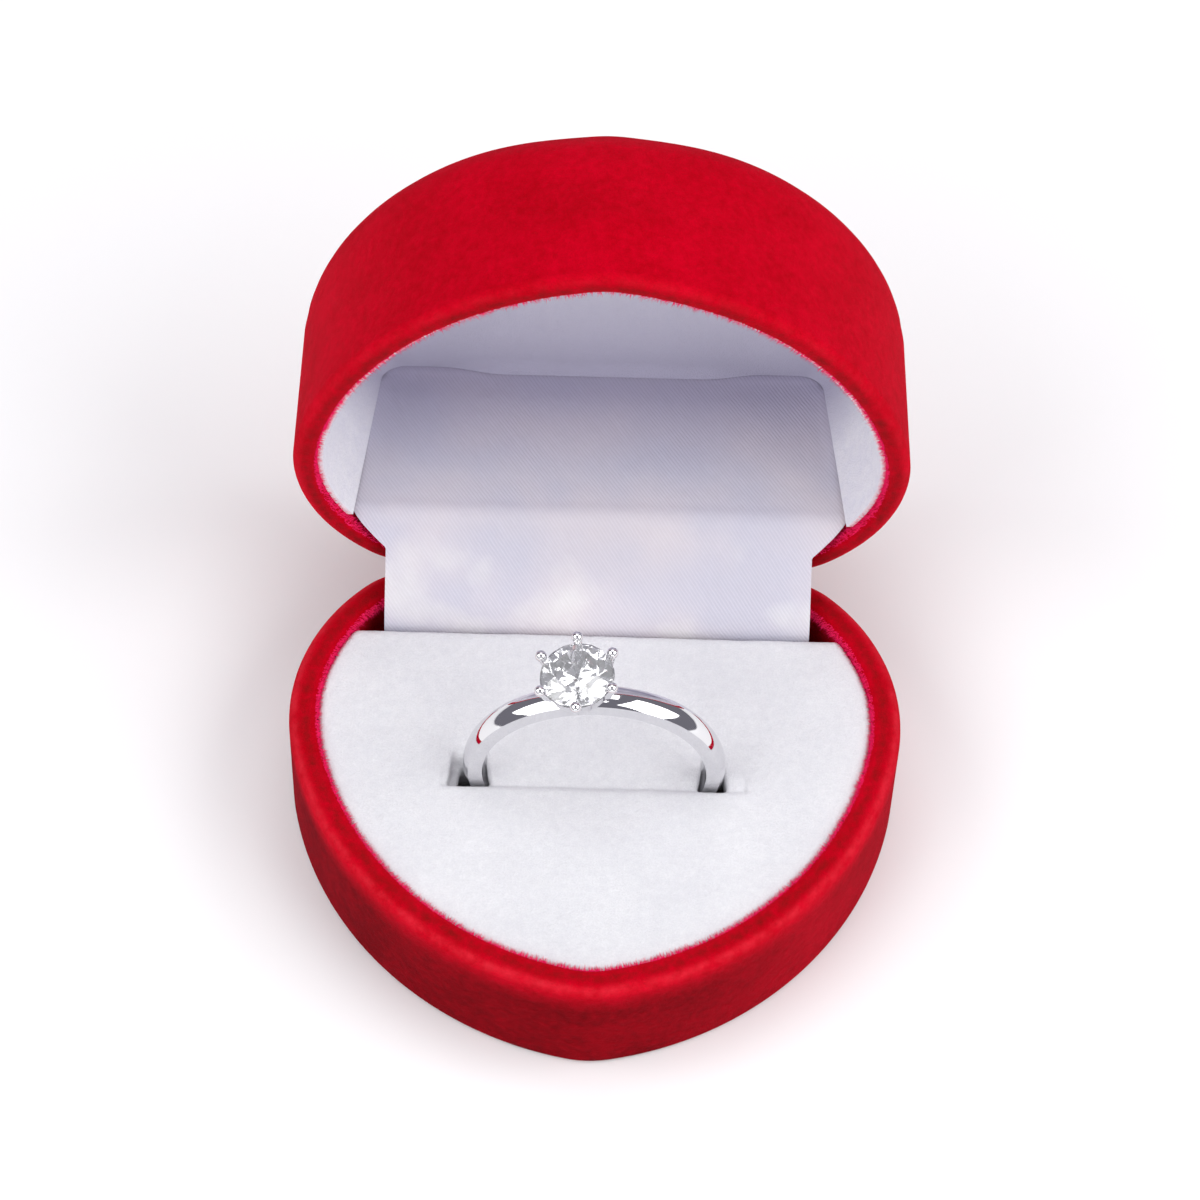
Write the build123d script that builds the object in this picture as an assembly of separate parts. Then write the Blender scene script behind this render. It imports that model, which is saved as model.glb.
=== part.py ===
"""Heart shaped flocked ring box with its satin hinge cover and a six prong solitaire ring.

Millimetres, +Z up, the box stands on z = 0 with its heart tip towards -Y and the hinge at the back (+Y).
The lid and everything fixed to it is drawn shut and then swung open about the hinge pin.
"""
import math
import os

from build123d import *

os.makedirs("parts", exist_ok=True)

# overall sizes
WIDTH = 48.0
BASE_HEIGHT = 11.2
LID_HEIGHT = 16.8
LID_OPEN_DEG = 90.0

# heart outline, right half: tip, long side, lobe, back corner, cleft
LOBE_RADIUS = 0.327 * WIDTH
SIDE_RADIUS = 0.577 * WIDTH
SIDE_START_DEG = 11.2
TIP_RADIUS = 9.0
CORNER_RADIUS = 6.0
CORNER_START_DEG = 50.0
CLEFT_RADIUS = 6.0
CLEFT_DEPTH = 2.0

# shells
BASE_WALL = 2.2
LID_WALL = 1.8
FLOOR = 1.2
ROOF = 1.1
BASE_DRAFT_DEG = 0.6
LID_DRAFT_DEG = 1.7
FOOT_EDGE = 0.5
CROWN_EDGE = 3.9
CROWN_EDGE_INSIDE = 2.4
RIM_OUTER_EDGE = 0.9
RIM_INNER_EDGE = 0.5
RIM_GAP = 0.2

# hinge, sheet steel leaves rolled round a pin
SHEET = 0.35
PIN_RADIUS = 0.5
PIN_CLEARANCE = 0.05
LEAF_DEPTH = 5.4
LEAF_END_CLEARANCE = 0.9
KNUCKLE_LENGTH = 2.6
KNUCKLE_GAP = 0.15
RIM_CUT_CLEARANCE = 0.2
POST_RADIUS = 0.6
POST_CLEARANCE = 0.1
POST_HEAD_RADIUS = 1.1
POST_HEAD = 0.35
SPRING_WIRE_RADIUS = 0.15
SPRING_TURNS = 6
SPRING_LEG = 4.0
SPRING_LEG_RISE = 0.43

# satin covered card in the lid and the satin that runs down behind the pad
SATIN = 0.25
SATIN_SETBACK = 5.8
CARD = 0.8
CARD_CLEARANCE = 0.25
CARD_EDGE_HEIGHT = 1.4
STRIP_HALF_WIDTH = 16.8
STRIP_TUCK = 5.0
STRIP_CLEARANCE = 0.15

# flocked liner in the lid
LINER = 0.4
LINER_CLEARANCE = 0.05
LINER_DRAFT_DEG = 6.0
LINER_RIM_SETBACK = 0.7
LINER_EDGE = 2.0
LINER_BACK_GAP = 0.25

# ring pad
PAD_CLEARANCE = 0.25
PAD_BELOW_RIM = 0.6
PAD_COVER = 0.5
PAD_COVER_SKIRT = 3.5
PAD_EDGE = 0.9
SLOT_END_SPACE = 1.8
SLOT_FLOOR_FOAM = 0.7
SLOT_CLEARANCE = 0.15
SLOT_ROLL = 1.6
SLOT_FORWARD_OF_HINGE = 18.6

# ring
RING_INSIDE_DIAMETER = 17.4
BAND_THICKNESS = 1.5
BAND_WIDTH = 2.0
BAND_CROWN = 0.4
RING_LEAN_DEG = 7.0
RING_FLOOR_CLEARANCE = 0.05
STONE_DIAMETER = 5.6
PRONG_COUNT = 6
PRONG_CIRCLE_RADIUS = 3.15
PRONG_FOOT_RADIUS = 1.1
PRONG_RADIUS = 0.34
PRONG_BALL_RADIUS = 0.45
HEAD_HEIGHT = 3.0
GALLERY_ABOVE_BAND = 1.1
GALLERY_HEIGHT = 1.3
GALLERY_WALL = 0.35
GALLERY_LOW_RADIUS = 2.45
GALLERY_TOP_RADIUS = 2.85

# round brilliant, angles from the girdle plane
GIRDLE = 0.16
TABLE_SHARE = 0.57
STAR_SHARE = 0.608
CROWN_DEG = 34.5
STAR_DEG = 20.5
UPPER_GIRDLE_DEG = 41.0
PAVILION_DEG = 40.8
LOWER_GIRDLE_DEG = 42.0


def turned(centre, radius, degrees):
    """The point on a circle at an angle measured from +X."""
    angle = math.radians(degrees)
    return (centre[0] + radius * math.cos(angle), centre[1] + radius * math.sin(angle))


# circle centres of the outline before it is moved so that the foot is centred on the origin
lobe_centre = (WIDTH / 2 - LOBE_RADIUS, 0.0)
side_centre = turned(lobe_centre, SIDE_RADIUS - LOBE_RADIUS, 180 - SIDE_START_DEG)
tip_drop = math.sqrt((SIDE_RADIUS - TIP_RADIUS) ** 2 - side_centre[0] ** 2)
tip_centre = (0.0, side_centre[1] - tip_drop)
corner_centre = turned(lobe_centre, LOBE_RADIUS - CORNER_RADIUS, CORNER_START_DEG)
cleft_turn_deg = math.degrees(math.acos(1 - CLEFT_DEPTH / (CORNER_RADIUS + CLEFT_RADIUS)))
cleft_centre = turned(corner_centre, CORNER_RADIUS + CLEFT_RADIUS, 90 + cleft_turn_deg)
side_end_deg = math.degrees(math.atan2(tip_centre[1] - side_centre[1], -side_centre[0]))

back_line = corner_centre[1] + CORNER_RADIUS
front_line = tip_centre[1] - TIP_RADIUS
LENGTH = back_line - front_line
outline_shift = LENGTH / 2 - back_line

HINGE_Y = LENGTH / 2
HINGE_Z = BASE_HEIGHT
CLEFT_HALF_WIDTH = cleft_centre[0]
LEAF_HALF_WIDTH = CLEFT_HALF_WIDTH - LEAF_END_CLEARANCE
KNUCKLE_RADIUS = PIN_RADIUS + PIN_CLEARANCE + SHEET


def outline(inset):
    """The heart as a face at z = 0, every edge moved inwards by the inset."""
    turns = [
        (tip_centre, TIP_RADIUS - inset, -90.0, side_end_deg),
        (side_centre, SIDE_RADIUS - inset, side_end_deg, -SIDE_START_DEG),
        (lobe_centre, LOBE_RADIUS - inset, -SIDE_START_DEG, CORNER_START_DEG),
        (corner_centre, CORNER_RADIUS - inset, CORNER_START_DEG, 90 + cleft_turn_deg),
        (cleft_centre, CLEFT_RADIUS + inset, cleft_turn_deg - 90, -90.0),
    ]
    arcs = []
    for centre, radius, start, end in turns:
        first, middle, last = [turned(centre, radius, angle) for angle in (start, (start + end) / 2, end)]
        arcs.append(ThreePointArc(first, middle, last))
    back = (arcs[-1] @ 1).Y
    front = (arcs[0] @ 0).Y
    half = make_face(Wire([*arcs, Line(arcs[-1] @ 1, (0, back)), Line((0, back), (0, front))]))
    return Pos(0, outline_shift, 0) * (half + mirror(half, Plane.YZ))


def heart_block(inset, rim_z, far_z, draft_deg):
    """A heart shaped solid from the rim to another height, narrowing away from the rim."""
    way = 1 if far_z > rim_z else -1
    face = Pos(0, 0, rim_z) * outline(inset)
    return extrude(face, amount=abs(far_z - rim_z), dir=(0, 0, way), taper=draft_deg)


def edges_at(solid, height):
    """Every edge that lies flat at one height."""
    return [e for e in solid.edges() if abs((e @ 0).Z - height) < 1e-4 and abs((e @ 0.5).Z - height) < 1e-4]


def box_between(x, y, z):
    """A box from its three (low, high) pairs."""
    spans = [high - low for low, high in (x, y, z)]
    middles = [(high + low) / 2 for low, high in (x, y, z)]
    return Pos(*middles) * Box(*spans)


def swung(shape):
    """Turn a piece drawn with the lid shut into its place with the lid open."""
    return Pos(0, HINGE_Y, HINGE_Z) * Rot(-LID_OPEN_DEG, 0, 0) * Pos(0, -HINGE_Y, -HINGE_Z) * shape


def flipped(shape):
    """Mirror a piece of the base half of the hinge into the shut lid half."""
    return mirror(shape, Plane(origin=(0, 0, HINGE_Z), z_dir=(0, 0, 1)))


def x_rod(radius, low, high, y=HINGE_Y, z=HINGE_Z):
    """A round bar along X."""
    return Pos((low + high) / 2, y, z) * Rot(0, 90, 0) * Cylinder(radius, high - low)


def y_rod(radius, x, low, high, z):
    """A round bar along Y."""
    return Pos(x, (low + high) / 2, z) * Rot(90, 0, 0) * Cylinder(radius, high - low)


# shells ---------------------------------------------------------------------------------------------
BASE_RIM = HINGE_Z - RIM_GAP / 2
LID_RIM = HINGE_Z + RIM_GAP / 2
LID_TOP = LID_RIM + LID_HEIGHT
CLEFT_INSIDE_BASE = HINGE_Y - CLEFT_DEPTH - BASE_WALL
CLEFT_INSIDE_LID = HINGE_Y - CLEFT_DEPTH - LID_WALL
LEAF_BACK_BASE = CLEFT_INSIDE_BASE - LEAF_DEPTH * math.tan(math.radians(BASE_DRAFT_DEG))
LEAF_BACK_LID = CLEFT_INSIDE_LID - LEAF_DEPTH * math.tan(math.radians(LID_DRAFT_DEG))
RIM_CUT = KNUCKLE_RADIUS + RIM_CUT_CLEARANCE - RIM_GAP / 2
CUT_HALF_WIDTH = LEAF_HALF_WIDTH + RIM_CUT_CLEARANCE
POST_X = LEAF_HALF_WIDTH * 0.62
POST_BELOW_HINGE = 3.4


def shell(wall, rim_z, far_z, skin, draft_deg, far_edge, far_edge_inside):
    """One half of the box: a thin heart cup open at the rim."""
    way = 1 if far_z > rim_z else -1
    cup = heart_block(0, rim_z, far_z, draft_deg)
    cup = fillet(edges_at(cup, far_z), far_edge)
    cup = fillet(edges_at(cup, rim_z), RIM_OUTER_EDGE)
    inside_z = far_z - way * skin
    hollow = heart_block(wall, rim_z, inside_z, draft_deg)
    hollow = fillet(edges_at(hollow, inside_z), far_edge_inside)
    cup -= hollow
    mouth = [e for e in edges_at(cup, rim_z) if e.bounding_box().max.X < WIDTH / 2 - wall + 0.01]
    inner = [e for e in mouth if outline_distance(e @ 0.5) > wall - 0.05]
    return fillet(inner, RIM_INNER_EDGE)


def outline_distance(point):
    """How far a point of the rim lies inside the outline."""
    edge = (Pos(0, 0, point.Z) * outline(0)).edges()
    return min(e.distance_to(Vertex(point.X, point.Y, point.Z)) for e in edge)


def hinge_post(leaf_back, skin):
    """Moulded posts through the leaf, their ends melted over into round heads."""
    posts = []
    z = HINGE_Z - POST_BELOW_HINGE
    for side in (-1, 1):
        shank = y_rod(POST_RADIUS, side * POST_X, leaf_back - SHEET - 0.01, leaf_back + skin / 2, z)
        head = y_rod(POST_HEAD_RADIUS, side * POST_X, leaf_back - SHEET - POST_HEAD, leaf_back - SHEET, z)
        posts += [shank, head]
    return posts


rim_cut = box_between(
    (-CUT_HALF_WIDTH, CUT_HALF_WIDTH),
    (HINGE_Y - CLEFT_DEPTH - BASE_WALL - 1.5, HINGE_Y + 2.0),
    (HINGE_Z - RIM_CUT - RIM_GAP / 2, HINGE_Z + 0.5),
)
base_shell = shell(BASE_WALL, BASE_RIM, 0.0, FLOOR, BASE_DRAFT_DEG, FOOT_EDGE, RIM_INNER_EDGE)
base_shell -= rim_cut
for piece in hinge_post(LEAF_BACK_BASE, BASE_WALL):
    base_shell += piece

lid_shell = shell(LID_WALL, LID_RIM, LID_TOP, ROOF, LID_DRAFT_DEG, CROWN_EDGE, CROWN_EDGE_INSIDE)
lid_shell -= flipped(rim_cut)
for piece in hinge_post(LEAF_BACK_LID, LID_WALL):
    lid_shell += flipped(piece)


# hinge ----------------------------------------------------------------------------------------------
PLATE_TOP = HINGE_Z - KNUCKLE_RADIUS + SHEET
LEG_SLOT_HALF_WIDTH = SPRING_TURNS * SPRING_WIRE_RADIUS * 2.15 / 2 + 0.5


def leaf(back_y, knuckle_spans, clear_spans):
    """A bent sheet leaf of the base half: plate on the cleft wall, shelf over the rim, rolled knuckles."""
    wide = (-LEAF_HALF_WIDTH, LEAF_HALF_WIDTH)
    upright = box_between(wide, (back_y - SHEET, back_y), (HINGE_Z - LEAF_DEPTH, PLATE_TOP))
    shelf = box_between(wide, (back_y - SHEET, HINGE_Y), (PLATE_TOP - SHEET, PLATE_TOP))
    body = upright + shelf
    bend = [e for e in body.edges().filter_by(Axis.X)
            if abs((e @ 0).Y - back_y + SHEET) < 1e-4 and abs((e @ 0).Z - PLATE_TOP) < 1e-4]
    body = fillet(bend, SHEET * 1.6)
    for low, high in clear_spans:
        reach = KNUCKLE_RADIUS + KNUCKLE_GAP
        body -= box_between((low, high), (HINGE_Y - reach, HINGE_Y + 1), (PLATE_TOP - 1, PLATE_TOP + 1))
    leg_slot = box_between(
        (-LEG_SLOT_HALF_WIDTH, LEG_SLOT_HALF_WIDTH),
        (HINGE_Y - SPRING_LEG + 1.3, HINGE_Y + 1),
        (PLATE_TOP - 1, PLATE_TOP + 1),
    )
    body -= leg_slot
    for low, high in knuckle_spans:
        body += x_rod(KNUCKLE_RADIUS, low, high)
    body -= x_rod(PIN_RADIUS + PIN_CLEARANCE, -LEAF_HALF_WIDTH - 1, LEAF_HALF_WIDTH + 1)
    for side in (-1, 1):
        hole = y_rod(POST_RADIUS + POST_CLEARANCE, side * POST_X, back_y - 1, back_y + 1,
                     HINGE_Z - POST_BELOW_HINGE)
        body -= hole
    return body


outer_start = LEAF_HALF_WIDTH - KNUCKLE_LENGTH
inner_end = outer_start - KNUCKLE_GAP
inner_start = inner_end - KNUCKLE_LENGTH
outer_spans = [(-LEAF_HALF_WIDTH, -outer_start), (outer_start, LEAF_HALF_WIDTH)]
inner_spans = [(-inner_end, -inner_start), (inner_start, inner_end)]
between_outer = [(-outer_start - KNUCKLE_GAP / 2, outer_start + KNUCKLE_GAP / 2)]
beside_inner = [
    (-LEAF_HALF_WIDTH - 1, -inner_end),
    (inner_end, LEAF_HALF_WIDTH + 1),
    (-inner_start, inner_start),
]
hinge_leaf_base = leaf(LEAF_BACK_BASE, outer_spans, between_outer)
hinge_leaf_lid = flipped(leaf(LEAF_BACK_LID, inner_spans, beside_inner))
hinge_pin = x_rod(PIN_RADIUS, -LEAF_HALF_WIDTH - 0.4, LEAF_HALF_WIDTH + 0.4)

coil_radius = PIN_RADIUS + PIN_CLEARANCE + SPRING_WIRE_RADIUS
coil_pitch = SPRING_WIRE_RADIUS * 2.15
coil_length = coil_pitch * SPRING_TURNS
coil_path = Helix(pitch=coil_pitch, height=coil_length, radius=coil_radius)
coil_start = Plane(origin=coil_path @ 0, z_dir=coil_path % 0)
coil = sweep(coil_start * Circle(SPRING_WIRE_RADIUS), coil_path)
coil = Pos(-coil_length / 2, HINGE_Y, HINGE_Z) * Rot(0, 90, 0) * coil


def spring_leg(x):
    """The straight end of the spring that lies on the base leaf, slightly raised at its far end."""
    near = (x, HINGE_Y, HINGE_Z - coil_radius)
    far = (x, HINGE_Y - SPRING_LEG, HINGE_Z - coil_radius + SPRING_LEG_RISE)
    path = Line(near, far)
    return sweep(Plane(origin=near, z_dir=path % 0) * Circle(SPRING_WIRE_RADIUS), path)


hinge_spring = coil + spring_leg(-coil_length / 2)
hinge_spring += swung(flipped(spring_leg(coil_length / 2)))


# lid lining -----------------------------------------------------------------------------------------
SATIN_FACE_Y = HINGE_Y - SATIN_SETBACK
CARD_FRONT_Y = SATIN_FACE_Y + SATIN


def lid_cavity(inset):
    """The inside of the shut lid, made smaller all round."""
    top = LID_TOP - ROOF - inset
    block = heart_block(LID_WALL + inset, LID_RIM, top, LID_DRAFT_DEG)
    return fillet(edges_at(block, top), CROWN_EDGE_INSIDE - inset)


def slab(y_low, y_high, z_low, z_high=100.0):
    """Everything between two heights and two depths."""
    return box_between((-WIDTH, WIDTH), (y_low, y_high), (z_low, z_high))


def liner_block(skin):
    """The formed liner as a solid, its walls leaning in more than the shell's."""
    top = LID_TOP - ROOF - LINER_CLEARANCE - skin
    block = heart_block(LID_WALL + LINER_CLEARANCE + skin, LID_RIM, top, LINER_DRAFT_DEG)
    return fillet(edges_at(block, top), LINER_EDGE - skin)


liner_front = slab(-WIDTH, SATIN_FACE_Y - LINER_BACK_GAP, LID_RIM + LINER_RIM_SETBACK)
lid_liner = (liner_block(0) - liner_block(LINER)) & liner_front

card_slab = slab(CARD_FRONT_Y, CARD_FRONT_Y + CARD, LID_RIM + CARD_EDGE_HEIGHT)
lid_card = lid_cavity(CARD_CLEARANCE) & card_slab
satin_slab = slab(SATIN_FACE_Y, CARD_FRONT_Y, LID_RIM + CARD_EDGE_HEIGHT)
satin_panel = swung(lid_cavity(CARD_CLEARANCE) & satin_slab)

# the strip, as (distance in front of the hinge pin, height above the hinge pin) with the lid open
pad_back = LEAF_BACK_BASE - SHEET - POST_HEAD - SATIN - 2 * STRIP_CLEARANCE
strip_front_y = pad_back + STRIP_CLEARANCE
tuck_z = HINGE_Z - STRIP_TUCK
fold_y = HINGE_Y + RIM_GAP / 2 + CARD_EDGE_HEIGHT
fold_z = HINGE_Z + SATIN_SETBACK


def strip_profile():
    """The side view of the satin from the card's edge down behind the pad."""
    over = [(fold_y, fold_z), (fold_y - 0.8, fold_z - 0.4), (HINGE_Y - 1.2, HINGE_Z + 3.3),
            (strip_front_y + 0.7, HINGE_Z + 0.3), (strip_front_y, HINGE_Z - 1.6)]
    under = [(y + dy, z + dz) for (y, z), (dy, dz) in zip(
        over, [(0, -SATIN), (0.16, -0.19), (0.18, -0.17), (0.22, -0.1), (SATIN, 0)])]
    front = Spline(over, tangents=[(-1, -0.02), (0, -1)])
    rear = Spline(under, tangents=[(-1, -0.02), (0, -1)])
    down = Polyline([over[-1], (strip_front_y, tuck_z), (strip_front_y + SATIN, tuck_z), under[-1]])
    return make_face(Wire([front, *down.edges(), rear, Line(under[0], over[0])]))


strip_face = Plane(origin=(0, 0, 0), x_dir=(0, 1, 0), z_dir=(1, 0, 0)) * strip_profile()
strip = extrude(strip_face, amount=STRIP_HALF_WIDTH, both=True)
satin_lining = satin_panel + strip


# ring pad -------------------------------------------------------------------------------------------
pad_top = HINGE_Z - PAD_BELOW_RIM
slot_y = HINGE_Y - SLOT_FORWARD_OF_HINGE
ring_outer = RING_INSIDE_DIAMETER / 2 + BAND_THICKNESS
slot_floor = FLOOR + SLOT_FLOOR_FOAM
slot_length = 2 * (ring_outer + SLOT_END_SPACE)
ring_centre = (0, slot_y, slot_floor + RING_FLOOR_CLEARANCE + ring_outer)


def pad_block(skin):
    """The pad as one block, its top and slot walls set back by the thickness of the cover."""
    block = heart_block(BASE_WALL + PAD_CLEARANCE + skin, BASE_RIM, FLOOR, BASE_DRAFT_DEG)
    block &= slab(-WIDTH, pad_back - skin, 0, pad_top - skin)
    top_edges = edges_at(block, pad_top - skin)
    block = fillet(top_edges, PAD_EDGE - skin * 0.8)
    half = BAND_WIDTH / 2 + SLOT_CLEARANCE + skin
    long = slot_length / 2 + skin
    block -= box_between((-long, long), (slot_y - half, slot_y + half), (slot_floor, BASE_HEIGHT + 1))
    roll = [e for e in block.edges().filter_by(Axis.X)
            if abs((e @ 0).Y - slot_y - half) < 1e-4 and abs((e @ 0).Z - pad_top + skin) < 1e-4]
    return fillet(roll, SLOT_ROLL - skin)


ring_pad_foam = pad_block(PAD_COVER)
cover_zone = slab(-WIDTH, WIDTH, pad_top - PAD_COVER_SKIRT)
ring_pad_cover = (pad_block(0) & cover_zone) - pad_block(PAD_COVER)


# ring -----------------------------------------------------------------------------------------------
def leaned(shape):
    """Stand a piece drawn round the origin in the slot, leaning over to the left."""
    return Pos(*ring_centre) * Rot(0, -RING_LEAN_DEG, 0) * shape


finger_radius = RING_INSIDE_DIAMETER / 2
half_band = BAND_WIDTH / 2
shoulder = ring_outer - BAND_CROWN
band_section = make_face(Wire([
    ThreePointArc((shoulder, -half_band), (ring_outer, 0), (shoulder, half_band)),
    *Polyline([(shoulder, half_band), (finger_radius, half_band), (finger_radius, -half_band),
               (shoulder, -half_band)]).edges(),
]))
ring_band = revolve(band_section, Axis.Y)

head_foot = ring_outer - BAND_CROWN - 0.1
head_top = ring_outer + HEAD_HEIGHT
prong_angles = [90 + 360 / PRONG_COUNT * step for step in range(PRONG_COUNT)]


def bar(start, end, start_radius, end_radius):
    """A straight tapered round bar between two points."""
    path = Line(start, end)
    foot = Plane(origin=start, z_dir=path % 0) * Circle(start_radius)
    tip = Plane(origin=end, z_dir=path % 0) * Circle(end_radius)
    return loft([foot, tip])


gallery_low = ring_outer + GALLERY_ABOVE_BAND
gallery_top = gallery_low + GALLERY_HEIGHT
gallery_section = Plane.XZ * Polygon(
    (GALLERY_LOW_RADIUS, gallery_low),
    (GALLERY_TOP_RADIUS, gallery_top),
    (GALLERY_TOP_RADIUS - GALLERY_WALL, gallery_top),
    (GALLERY_LOW_RADIUS - GALLERY_WALL, gallery_low),
    align=None,
)
knee_radius = (GALLERY_LOW_RADIUS + GALLERY_TOP_RADIUS) / 2
knee_z = gallery_low + GALLERY_HEIGHT / 2
knee_thickness = PRONG_RADIUS * 1.05
ring_head = revolve(gallery_section, Axis.Z)
ring_head += Pos(0, 0, head_foot + 0.45) * Cylinder(PRONG_FOOT_RADIUS, 0.9)
for angle in prong_angles:
    foot = (*turned((0, 0), PRONG_FOOT_RADIUS - PRONG_RADIUS * 0.5, angle), head_foot + 0.5)
    knee = (*turned((0, 0), knee_radius, angle), knee_z)
    tip = (*turned((0, 0), PRONG_CIRCLE_RADIUS, angle), head_top)
    ring_head += bar(foot, knee, PRONG_RADIUS * 1.2, knee_thickness)
    ring_head += Pos(*knee) * Sphere(knee_thickness)
    ring_head += bar(knee, tip, knee_thickness, PRONG_RADIUS)
    ring_head += Pos(*tip) * Sphere(PRONG_BALL_RADIUS)
ring_head -= ring_band

girdle_z = head_top - PRONG_BALL_RADIUS * 0.9
stone_radius = STONE_DIAMETER / 2


def facets(stone, count, first_deg, tilt_deg, radius, height, up):
    """Cut a ring of flat facets that pass through a circle and lean in by the tilt."""
    tilt = math.radians(tilt_deg)
    for step in range(count):
        turn = math.radians(first_deg + 360 / count * step)
        normal = (math.sin(tilt) * math.cos(turn), math.sin(tilt) * math.sin(turn), up * math.cos(tilt))
        through = (radius * math.cos(turn), radius * math.sin(turn), height)
        stone = split(stone, Plane(origin=through, z_dir=normal), keep=Keep.BOTTOM)
    return stone


ring_stone = Pos(0, 0, girdle_z) * Cylinder(stone_radius, stone_radius * 2.4)
crown_z = girdle_z + GIRDLE / 2
table_z = crown_z + stone_radius * (1 - TABLE_SHARE) * math.tan(math.radians(CROWN_DEG))
ring_stone = split(ring_stone, Plane(origin=(0, 0, table_z)), keep=Keep.BOTTOM)
ring_stone = facets(ring_stone, 8, 0, CROWN_DEG, stone_radius, crown_z, 1)
ring_stone = facets(ring_stone, 8, 22.5, STAR_DEG, stone_radius * STAR_SHARE, table_z, 1)
ring_stone = facets(ring_stone, 16, 11.25, UPPER_GIRDLE_DEG, stone_radius, crown_z, 1)
ring_stone = facets(ring_stone, 8, 0, PAVILION_DEG, stone_radius, girdle_z - GIRDLE / 2, -1)
ring_stone = facets(ring_stone, 16, 11.25, LOWER_GIRDLE_DEG, stone_radius, girdle_z - GIRDLE / 2, -1)
ring_head -= ring_stone


# names and places of the finished pieces ------------------------------------------------------------
lid_pieces = {
    "lid_shell": lid_shell,
    "lid_liner": lid_liner,
    "lid_card": lid_card,
    "hinge_leaf_lid": hinge_leaf_lid,
}
ring_pieces = {
    "ring_band": ring_band,
    "ring_head": ring_head,
    "ring_stone": ring_stone,
}
pieces = {
    "base_shell": base_shell,
    "ring_pad_foam": ring_pad_foam,
    "ring_pad_cover": ring_pad_cover,
    "hinge_leaf_base": hinge_leaf_base,
    "hinge_pin": hinge_pin,
    "hinge_spring": hinge_spring,
    "satin_lining": satin_lining,
}
pieces |= {name: swung(shape) for name, shape in lid_pieces.items()}
pieces |= {name: leaned(shape) for name, shape in ring_pieces.items()}

for name, shape in pieces.items():
    solids = shape.solids()
    solid = solids[0] if len(solids) == 1 else Compound(children=list(solids))
    export_step(solid, f"parts/{name}.step")
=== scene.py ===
"""Looks of the heart ring box: flocked shells, white pad, satin, polished ring and cut stone."""
import math
import random

import bmesh
import bpy
import numpy as np
from mathutils import Matrix, Vector
from mathutils import noise as field


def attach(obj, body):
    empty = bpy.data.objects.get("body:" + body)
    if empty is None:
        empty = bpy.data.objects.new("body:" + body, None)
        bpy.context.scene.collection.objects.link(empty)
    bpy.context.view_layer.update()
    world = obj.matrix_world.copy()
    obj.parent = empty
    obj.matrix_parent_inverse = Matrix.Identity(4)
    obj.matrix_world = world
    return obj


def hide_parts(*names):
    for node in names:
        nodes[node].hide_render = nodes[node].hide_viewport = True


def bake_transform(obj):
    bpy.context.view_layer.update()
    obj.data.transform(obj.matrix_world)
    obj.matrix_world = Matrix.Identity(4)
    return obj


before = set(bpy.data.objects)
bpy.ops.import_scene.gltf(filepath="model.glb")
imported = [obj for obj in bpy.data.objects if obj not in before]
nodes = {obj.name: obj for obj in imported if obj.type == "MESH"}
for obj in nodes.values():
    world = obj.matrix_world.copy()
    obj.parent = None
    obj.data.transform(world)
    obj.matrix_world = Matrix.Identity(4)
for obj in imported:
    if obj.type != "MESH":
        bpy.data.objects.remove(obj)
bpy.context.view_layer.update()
random.seed(7)
MM = 0.001

# sizes in millimetres, the same as the CAD source's
WIDTH = 48.0
LOBE_RADIUS = 0.327 * WIDTH
SIDE_RADIUS = 0.577 * WIDTH
SIDE_START_DEG = 11.2
TIP_RADIUS = 9.0
CORNER_RADIUS = 6.0
CORNER_START_DEG = 50.0
CLEFT_RADIUS = 6.0
CLEFT_DEPTH = 2.0
BASE_WALL = 2.2
LID_WALL = 1.8
FLOOR = 1.2
ROOF = 1.1
HINGE_Z = 11.2
BASE_RIM = 11.1
LID_RIM = 11.3
LID_TOP = LID_RIM + 16.8
BASE_DRAFT = math.tan(math.radians(0.6))
LID_DRAFT = math.tan(math.radians(1.7))
FOOT_EDGE = 0.5
CROWN_EDGE = 3.9
CROWN_EDGE_INSIDE = 2.4
RIM_OUTER_EDGE = 0.9
RIM_INNER_EDGE = 0.5
CUT_HALF_WIDTH = 7.2
RIM_CUT = 1.1
PAD_TOP = 10.6
PAD_BACK = 13.78
SLOT_Y = 0.634
SLOT_HALF_WIDTH = 1.15
SLOT_HALF_LENGTH = 12.0
SATIN_SETBACK = 5.8

# sizes in millimetres that only the looks have
END_SCALES = (0.8, 0.55, 0.3, 0.12)
FAR_FROM_RIM = 9.0
CUT_REACH = 4.0
LID_TIP_BLUNTING = 1.1
BLUNTING_HALF_WIDTH = 8.0
BLUNTING_START = 6.0
BLUNTING_RUN = 9.0
# where the darker line along the middle of the rim lies
RIM_LINE_AT = 0.60
RIM_LINE_SPREAD = 0.5
# where the painted highlight on the rim's outer edge lies
HIGHLIGHT_INSET = 0.35
HIGHLIGHT_SPREAD = 0.3
# where the painted shade on the lower outer wall starts
SHADE_START = 0.6
SHADE_RUN = 2.0
PILE_COUNT = 7000
PILE_LENGTH = 0.55
PILE_CLEARANCE = 0.01
PAD_CLEARANCE = 0.06
PAD_EDGE = 0.55
PAD_BACK_EDGE = 0.7
SLOT_ROLL = 1.9
SLOT_LIP = 0.45
PAD_VOXEL = 0.19
PAD_BLANK_BOTTOM = 6.9
PAD_SKIN_BOTTOM = 7.2
SLOT_BOTTOM = 5.0
BRIDGE_SOFT_END = 0.6
BRIDGE_DEPTH = 2.4
BRIDGE_LIP = 0.4
BRIDGE_GAP = 0.2
# foam that closes up round the ring's legs: from x, to x, how far below the pad's top it ends
FOAM_BRIDGES = (
    (-12.9, -11.0, 0.0),
    (-8.5, 8.5, 0.0),
    (9.95, 12.9, 0.0),
    (-11.6, -10.35, 1.3),
)
SATIN_CARD_HALF_WIDTH = 19.45
SATIN_NARROW_HALF_WIDTH = 16.85
SATIN_COLUMNS = 96
SATIN_FOLD = 1.4
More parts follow.
